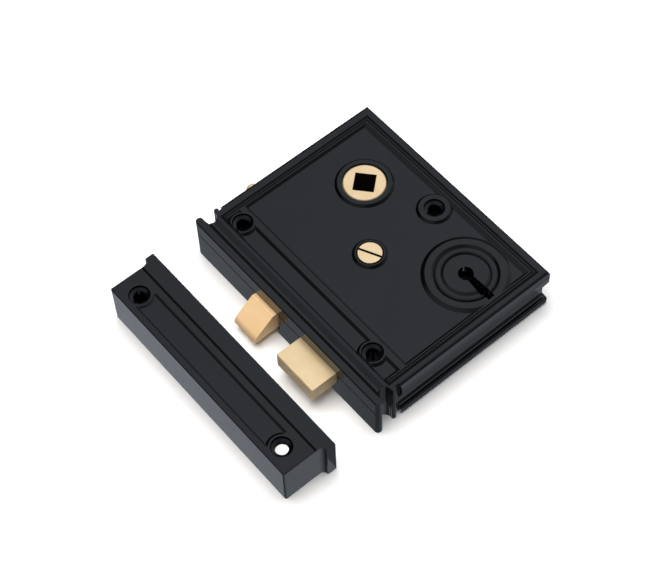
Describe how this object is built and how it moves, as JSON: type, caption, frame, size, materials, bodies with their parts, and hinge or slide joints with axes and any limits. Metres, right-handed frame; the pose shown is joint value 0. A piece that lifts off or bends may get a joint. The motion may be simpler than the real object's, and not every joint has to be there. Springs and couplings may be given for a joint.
{
  "type": "rim box lock",
  "caption": "Surface-mounted rim lock with sprung latch, lever dead bolt, snib, spindle follower and a box keep for the door frame.",
  "frame": {"origin": "on the spindle's axis, in the plane of the back plate that lies on the door", "axes": "+Z from the door out of the face, -X towards the forend and the keep, +Y towards the follower's end of the case, -Y towards the keyhole's end"},
  "size_m": [0.1236, 0.1068, 0.02],
  "materials": {
    "black_enamel": "black stove enamel on cast metal, satin gloss",
    "brass": "polished brass",
    "steel": "bright mild steel",
    "lever_steel": "ground lever plate",
    "spring_steel": "blued spring steel"
  },
  "bodies": {
    "case": {"front_case": "black_enamel", "back_plate": "black_enamel", "case_pillar": "steel", "case_screw": "brass", "lever_pivot": "steel", "bolt_guide_stud": "steel", "key_ward": "steel", "latch_spring": "spring_steel", "latch_spring_peg": "steel"},
    "follower": {"follower": "brass"},
    "latch": {"latch_bolt": "brass", "latch_tail": "steel", "latch_rivets": "steel"},
    "dead_bolt": {"dead_bolt": "brass", "bolt_stump": "steel"},
    "lever_1": {"lever_1": "lever_steel", "lever_1_spring": "spring_steel"},
    "lever_2": {"lever_2": "lever_steel", "lever_2_spring": "spring_steel"},
    "snib": {"snib_slide": "steel", "snib_knob": "brass", "snib_spring": "spring_steel"},
    "keep": {"keep_box": "black_enamel"}
  },
  "joints": [
    {"name": "follower_turn", "type": "hinge", "parent": "case", "child": "follower", "pos_m": [0, 0, 0], "axis": [0, 0, 1], "range_deg": [0, 44.4]},
    {"name": "latch_slide", "type": "slide", "parent": "case", "child": "latch", "axis": [1, 0, 0], "range_m": [0, 0.0105], "stiffness_N_per_m": 200, "deforming": ["latch_spring"]},
    {"name": "dead_bolt_slide", "type": "slide", "parent": "case", "child": "dead_bolt", "axis": [1, 0, 0], "range_m": [0, 0.0115]},
    {"name": "lever_1_lift", "type": "hinge", "parent": "case", "child": "lever_1", "pos_m": [-0.0295, -0.038, 0.0069], "axis": [0, 0, 1], "range_deg": [0, 2.81]},
    {"name": "lever_2_lift", "type": "hinge", "parent": "case", "child": "lever_2", "pos_m": [-0.0295, -0.038, 0.0085], "axis": [0, 0, 1], "range_deg": [0, 2.81]},
    {"name": "snib_slide", "type": "slide", "parent": "case", "child": "snib", "axis": [-1, 0, 0], "range_m": [0, 0.0106]},
    {"name": "keep_slide", "type": "slide", "parent": "case", "child": "keep", "axis": [1, 0, 0], "range_m": [0, 0.019]}
  ],
  "couplings": [
    {"joint": "follower_turn", "follows": "latch_slide", "rad_per_m": 73.8},
    {"joint": "lever_1_lift", "follows": "dead_bolt_slide", "rad_per_m": 4.2495},
    {"joint": "lever_2_lift", "follows": "dead_bolt_slide", "rad_per_m": 4.2495}
  ]
}
